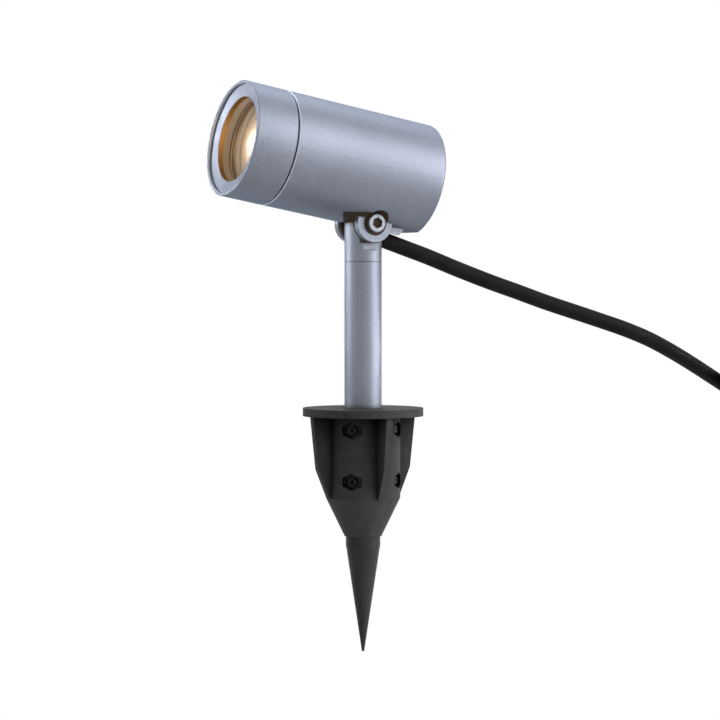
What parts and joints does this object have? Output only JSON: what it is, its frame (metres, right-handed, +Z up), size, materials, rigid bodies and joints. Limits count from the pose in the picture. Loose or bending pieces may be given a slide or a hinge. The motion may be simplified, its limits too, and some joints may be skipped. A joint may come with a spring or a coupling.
{
  "type": "garden spike spotlight",
  "caption": "Round aluminium spotlight that tilts and turns on a short pole, held in a ribbed plastic ground spike, with a rubber cable and an earthed plug.",
  "frame": {"origin": "centre of the flange's underside, which rests on the soil", "axes": "+Z up along the pole, -Y the way the lamp shines, X along the tilt pivot with its screw head at +X"},
  "size_m": [0.1008, 0.4065, 0.283],
  "materials": {
    "anodised_aluminium": "satin clear-anodised",
    "bare_aluminium": "turned",
    "spike_plastic": "black, moulded, satin",
    "point_plastic": "black, moulded, glossy",
    "zinc_steel": "zinc plated",
    "black_steel": "blackened",
    "bolt_steel": "bright stainless",
    "nickel_brass": "nickel plated",
    "brown_fibre": "dark brown pressed fibre",
    "seal_rubber": "black, smooth",
    "silicone_seal": "milky, smooth",
    "cable_rubber": "black, satin",
    "strap_plastic": "black strap",
    "clear_glass": "clear, polished",
    "satin_reflector": null,
    "frosted_lens": "lightly frosted, lit warm white from behind",
    "phosphor": "yellow phosphor",
    "white_board": "white mask",
    "white_plastic": "white",
    "wire_insulation": "coloured insulation"
  },
  "bodies": {
    "ground_spike": {"spike_body": "spike_plastic", "spike_point": "point_plastic", "clamp_nuts": "black_steel", "clamp_screws": "black_steel", "pole": "anodised_aluminium", "pan_grub_screw": "zinc_steel"},
    "knuckle": {"knuckle": "anodised_aluminium", "knuckle_o_ring": "seal_rubber", "pan_washer": "brown_fibre", "cable_grommet": "seal_rubber", "cord_run": "cable_rubber", "cord_coil": "cable_rubber", "cord_tie": "strap_plastic", "plug_body": "cable_rubber", "plug_pins": "nickel_brass", "plug_earth_clips": "nickel_brass"},
    "lamp_head": {"joint_bracket": "anodised_aluminium", "bracket_gasket": "seal_rubber", "bracket_screws": "zinc_steel", "friction_discs": "brown_fibre", "pivot_bolt": "bolt_steel", "pivot_washers": "brown_fibre", "pivot_nut": "bolt_steel", "barrel": "anodised_aluminium", "cap_o_ring": "seal_rubber", "front_cap": "anodised_aluminium", "glass_gasket": "silicone_seal", "front_glass": "clear_glass", "reflector": "satin_reflector", "led_lens": "frosted_lens", "led_chip": "phosphor", "led_board": "white_board", "board_screws": "zinc_steel", "heat_spreader": "bare_aluminium", "led_wires": "wire_insulation", "driver_case": "white_plastic", "terminal_block": "white_plastic", "core_wires": "wire_insulation", "wire_grommet": "seal_rubber"}
  },
  "joints": [
    {"name": "pan", "type": "hinge", "parent": "ground_spike", "child": "knuckle", "pos_m": [0, 0, 0.0769], "axis": [0, 0, 1], "range_deg": [-170, 170]},
    {"name": "head_tilt", "type": "hinge", "parent": "knuckle", "child": "lamp_head", "pos_m": [0, 0, 0.096], "axis": [-1, 0, 0], "range_deg": [-30, 35], "deforming": ["cord_run"]}
  ]
}
